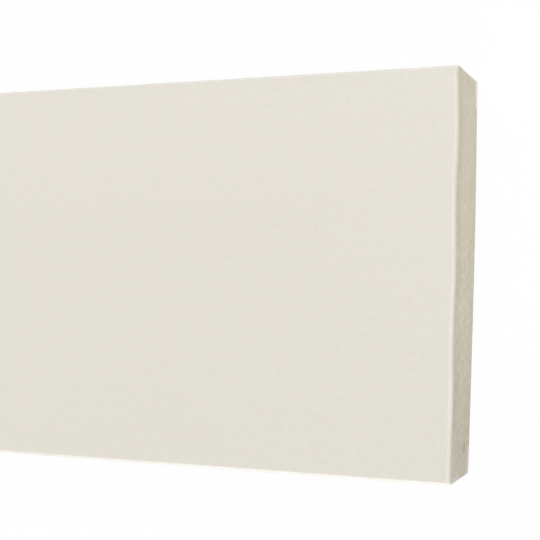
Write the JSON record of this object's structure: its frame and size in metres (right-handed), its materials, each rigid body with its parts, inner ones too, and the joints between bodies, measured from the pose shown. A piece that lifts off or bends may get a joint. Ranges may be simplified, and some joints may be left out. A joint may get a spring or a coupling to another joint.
{
  "type": "pvc board",
  "caption": "Flat rectangular length of cream cellular PVC sheet stock, sawn square at both ends, with lightly eased long edges.",
  "frame": {"origin": "centre of the back face, which the board lies on", "axes": "+X along the length, +Y across the width, +Z through the thickness and out of the show face"},
  "size_m": [2.4384, 0.0888, 0.0191],
  "materials": {
    "foamed_pvc": "matte cream skin with a fine pebble and faint lines along the extrusion; the sawn ends are rougher and slightly darker, with fine foam cells and saw marks"
  },
  "bodies": {
    "root": {"pvc_board": "foamed_pvc"}
  },
  "joints": []
}
